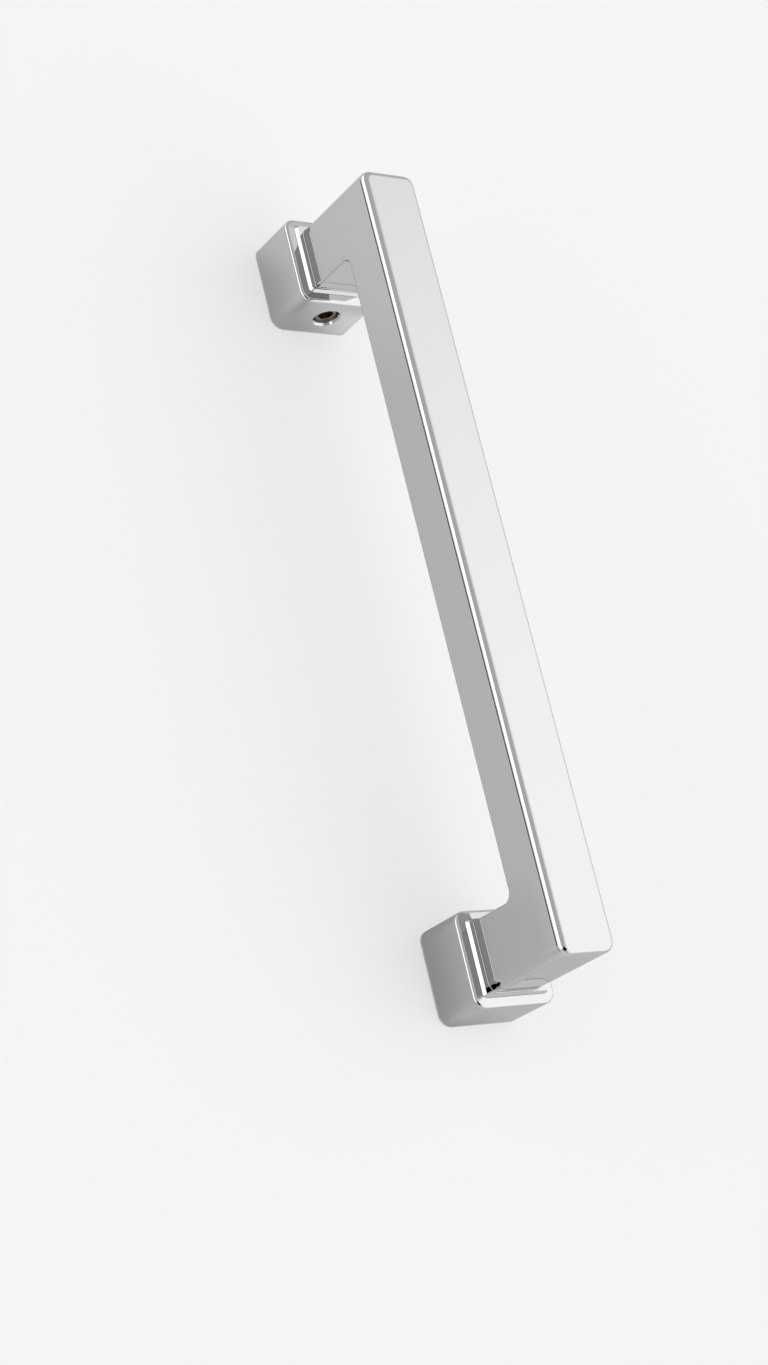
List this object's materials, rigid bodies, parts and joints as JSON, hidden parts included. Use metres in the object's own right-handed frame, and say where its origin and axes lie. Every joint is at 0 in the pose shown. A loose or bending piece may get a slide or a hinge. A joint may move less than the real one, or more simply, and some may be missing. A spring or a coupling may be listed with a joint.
{
  "type": "bar handle",
  "caption": "Square-section bar pull handle with two legs on stepped square feet, fixed to a door or drawer from behind through hidden posts that grub screws lock.",
  "frame": {"origin": "middle of the mounting plane, halfway between the centres of the two feet", "axes": "+X along the bar towards the foot that is the lower one when the handle hangs upright, +Y across the bar, +Z out from the door towards the grip face"},
  "size_m": [0.2166, 0.0246, 0.0465],
  "materials": {
    "polished_plate": "mirror-polished bright plate",
    "turned_steel": "turned, with fine tool rings",
    "screw_steel": "dark oiled steel"
  },
  "bodies": {
    "root": {"handle_body": "polished_plate", "upper_post": "turned_steel", "lower_post": "turned_steel", "upper_grub_screw": "screw_steel", "lower_grub_screw": "screw_steel"}
  },
  "joints": []
}
